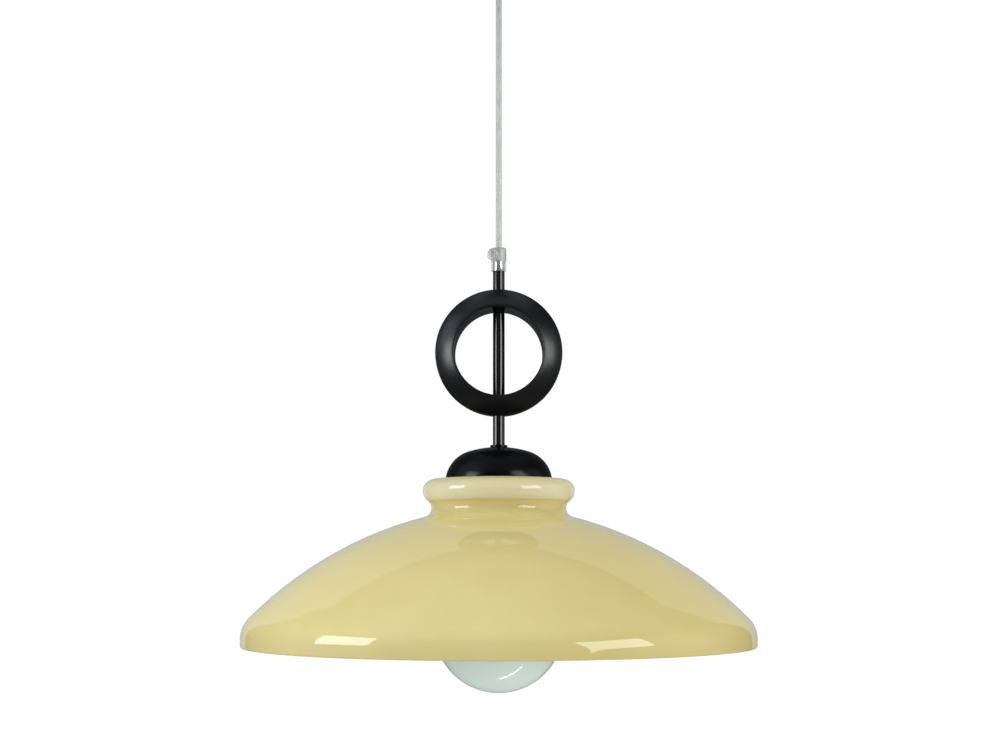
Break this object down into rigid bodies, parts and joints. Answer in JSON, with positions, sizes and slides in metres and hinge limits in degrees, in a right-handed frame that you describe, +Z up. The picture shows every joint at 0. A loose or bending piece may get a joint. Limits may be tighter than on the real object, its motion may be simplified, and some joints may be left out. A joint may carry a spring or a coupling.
{
  "type": "rise and fall pendant light",
  "caption": "Ceiling pendant with a domed opal glass shade, globe bulb and ring pull handle, hung on one cord from a spring reel in the canopy.",
  "frame": {"origin": "centre of the two ceiling slots, on the face that lies on the ceiling", "axes": "+Z up into the ceiling, the lamp hangs along -Z; +X along the bracket; the ring handle's face looks along -Y"},
  "size_m": [0.4282, 0.4282, 0.7392],
  "materials": {
    "opal_glass": "glossy cream opal",
    "black_paint": "satin black",
    "white_paint": "satin white",
    "rubber": "matte",
    "zinc_steel": "zinc plated",
    "spring_steel": "blued",
    "clear_plastic": "clear",
    "cord": "clear sheath over tinned strands",
    "white_plastic": "satin white",
    "black_plastic": "satin black",
    "grey_plastic": "moulded grey",
    "porcelain": "unglazed",
    "brass": "plain",
    "bulb_glass": "opal white",
    "bulb_metal": "plain"
  },
  "bodies": {
    "canopy": {"canopy_shell": "black_paint", "outlet_bush": "black_plastic", "canopy_screws": "zinc_steel", "ceiling_bracket": "zinc_steel", "terminal_block": "white_plastic", "reel_frame": "zinc_steel", "reel_axle": "zinc_steel", "axle_clip": "zinc_steel", "spring_sleeve": "zinc_steel", "brush_block": "white_plastic", "brushes": "brass", "cord_feed": "cord"},
    "reel": {"reel_drum": "grey_plastic", "cord_winding": "cord", "spring_case": "zinc_steel", "mainspring": "spring_steel", "slip_ring_carrier": "grey_plastic", "slip_rings": "brass"},
    "cord": {"cord_drop": "cord"},
    "lamp": {"glass_shade": "opal_glass", "cap_dome": "black_paint", "stem_collar": "black_paint", "upper_gasket": "rubber", "lower_gasket": "rubber", "clamp_disc": "white_paint", "lock_nut": "zinc_steel", "stem_tube": "black_paint", "ring_handle": "black_paint", "cord_grip": "clear_plastic", "grip_screw": "clear_plastic", "cord_inner": "cord", "holder_cap": "white_plastic", "holder_shell": "white_plastic", "holder_insert": "porcelain", "screw_shell": "brass", "centre_contact": "brass", "bulb_globe": "bulb_glass", "bulb_cap": "bulb_metal"}
  },
  "joints": [
    {"name": "swing", "type": "hinge", "parent": "canopy", "child": "cord", "pos_m": [0, 0, -0.104], "axis": [0, 1, 0], "range_deg": [-15, 15]},
    {"name": "rise_fall", "type": "slide", "parent": "cord", "child": "lamp", "axis": [0, 0, -1], "range_m": [-0.15, 0.9], "deforming": ["cord_drop"]},
    {"name": "reel_spin", "type": "hinge", "parent": "canopy", "child": "reel", "pos_m": [-0.0275, 0, -0.05], "axis": [0, 1, 0], "range_deg": [-320, 1890]}
  ],
  "couplings": [
    {"joint": "reel_spin", "follows": "rise_fall", "rad_per_m": 36.364}
  ]
}
